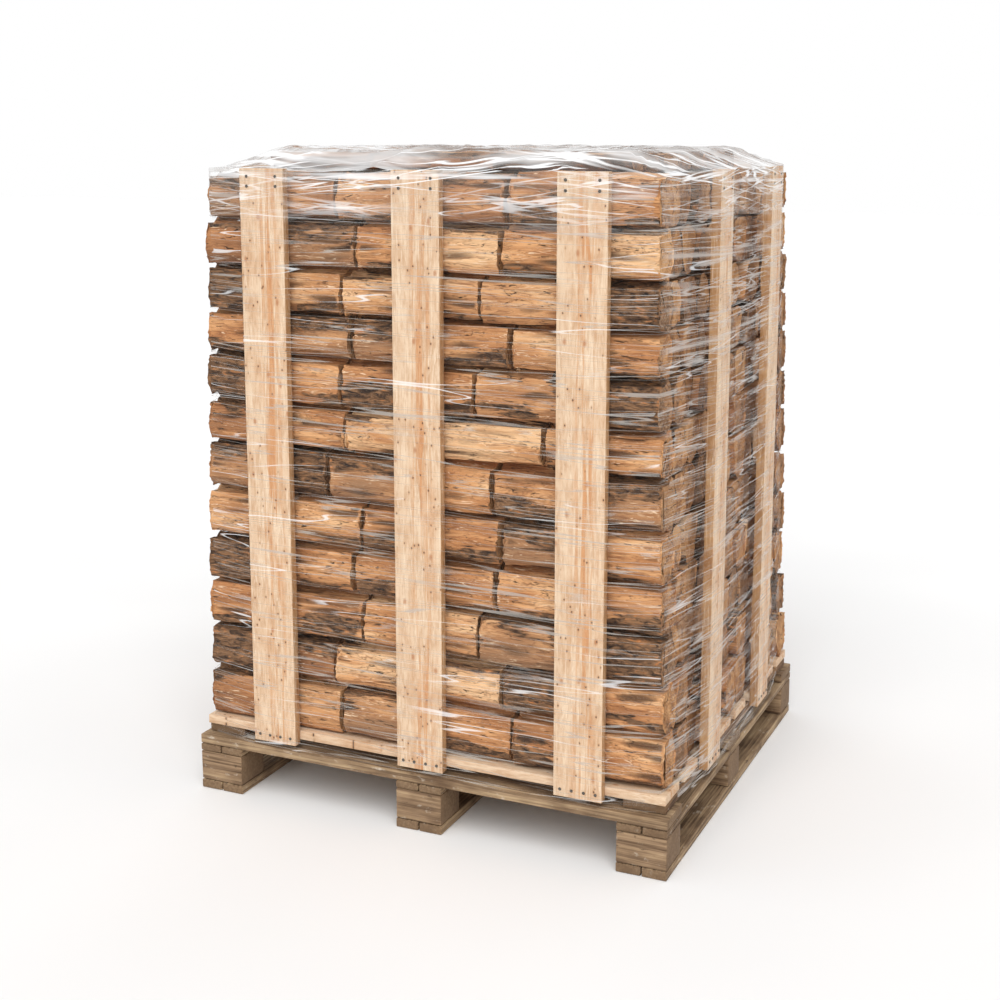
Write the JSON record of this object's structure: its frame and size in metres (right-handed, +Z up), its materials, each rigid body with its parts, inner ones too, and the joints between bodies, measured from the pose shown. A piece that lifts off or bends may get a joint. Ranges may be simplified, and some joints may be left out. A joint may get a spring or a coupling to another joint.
{
  "type": "pallet of firewood",
  "caption": "Split firewood stacked in layers inside a crate of upright slats on a wooden block pallet, wrapped in clear stretch film.",
  "frame": {"origin": "middle of the pallet's footprint, on the floor under the bottom boards", "axes": "+X along the long front face, which shows the logs' sides, from left to right; +Y from the front face to the back; +Z up"},
  "size_m": [1.2242, 1.1082, 1.566],
  "materials": {
    "old_pallet_wood": "weathered rough-sawn softwood, grey-brown with pale scuffs",
    "old_bearer_wood": "dark used rough-sawn softwood",
    "fresh_pine": "fresh sawn pine with orange growth lines and small knots",
    "split_log": "split and barked firewood, orange-tan to grey-brown",
    "stretch_film": "clear stretch film, glossy, with whitish streaks and creases"
  },
  "bodies": {
    "root": {"bottom_board_left_a": "old_pallet_wood", "stringer_board_left_a": "old_pallet_wood", "bottom_board_left_b": "old_pallet_wood", "stringer_board_left_b": "old_pallet_wood", "block_front_left": "old_pallet_wood", "block_middle_left": "old_pallet_wood", "block_back_left": "old_pallet_wood", "bottom_board_centre_a": "old_pallet_wood", "stringer_board_centre_a": "old_pallet_wood", "bottom_board_centre_b": "old_pallet_wood", "stringer_board_centre_b": "old_pallet_wood", "block_front_centre": "old_pallet_wood", "block_middle_centre": "old_pallet_wood", "block_back_centre": "old_pallet_wood", "bottom_board_right_a": "old_pallet_wood", "stringer_board_right_a": "old_pallet_wood", "bottom_board_right_b": "old_pallet_wood", "stringer_board_right_b": "old_pallet_wood", "block_front_right": "old_pallet_wood", "block_middle_right": "old_pallet_wood", "block_back_right": "old_pallet_wood", "deck_board_front": "old_pallet_wood", "deck_board_middle": "old_pallet_wood", "deck_board_back": "old_pallet_wood", "crate_bearer_left": "old_bearer_wood", "crate_bearer_centre": "old_bearer_wood", "crate_bearer_right": "old_bearer_wood", "crate_floor_board_1": "fresh_pine", "crate_floor_board_2": "fresh_pine", "crate_floor_board_3": "fresh_pine", "crate_floor_board_4": "fresh_pine", "crate_floor_board_5": "fresh_pine", "crate_floor_board_6": "fresh_pine", "crate_floor_board_7": "fresh_pine", "crate_floor_board_8": "fresh_pine", "slat_front_left": "fresh_pine", "slat_front_middle": "fresh_pine", "slat_front_right": "fresh_pine", "slat_back_left": "fresh_pine", "slat_back_middle": "fresh_pine", "slat_back_right": "fresh_pine", "slat_left_face_front": "fresh_pine", "slat_left_face_back": "fresh_pine", "slat_right_face_front": "fresh_pine", "slat_right_face_back": "fresh_pine", "log_layer_01": "split_log", "log_layer_02": "split_log", "log_layer_03": "split_log", "log_layer_04": "split_log", "log_layer_05": "split_log", "log_layer_06": "split_log", "log_layer_07": "split_log", "log_layer_08": "split_log", "log_layer_09": "split_log", "log_layer_10": "split_log", "log_layer_11": "split_log", "log_layer_12": "split_log", "loose_top_logs": "split_log", "film_wrap": "stretch_film", "film_cover": "stretch_film"}
  },
  "joints": []
}
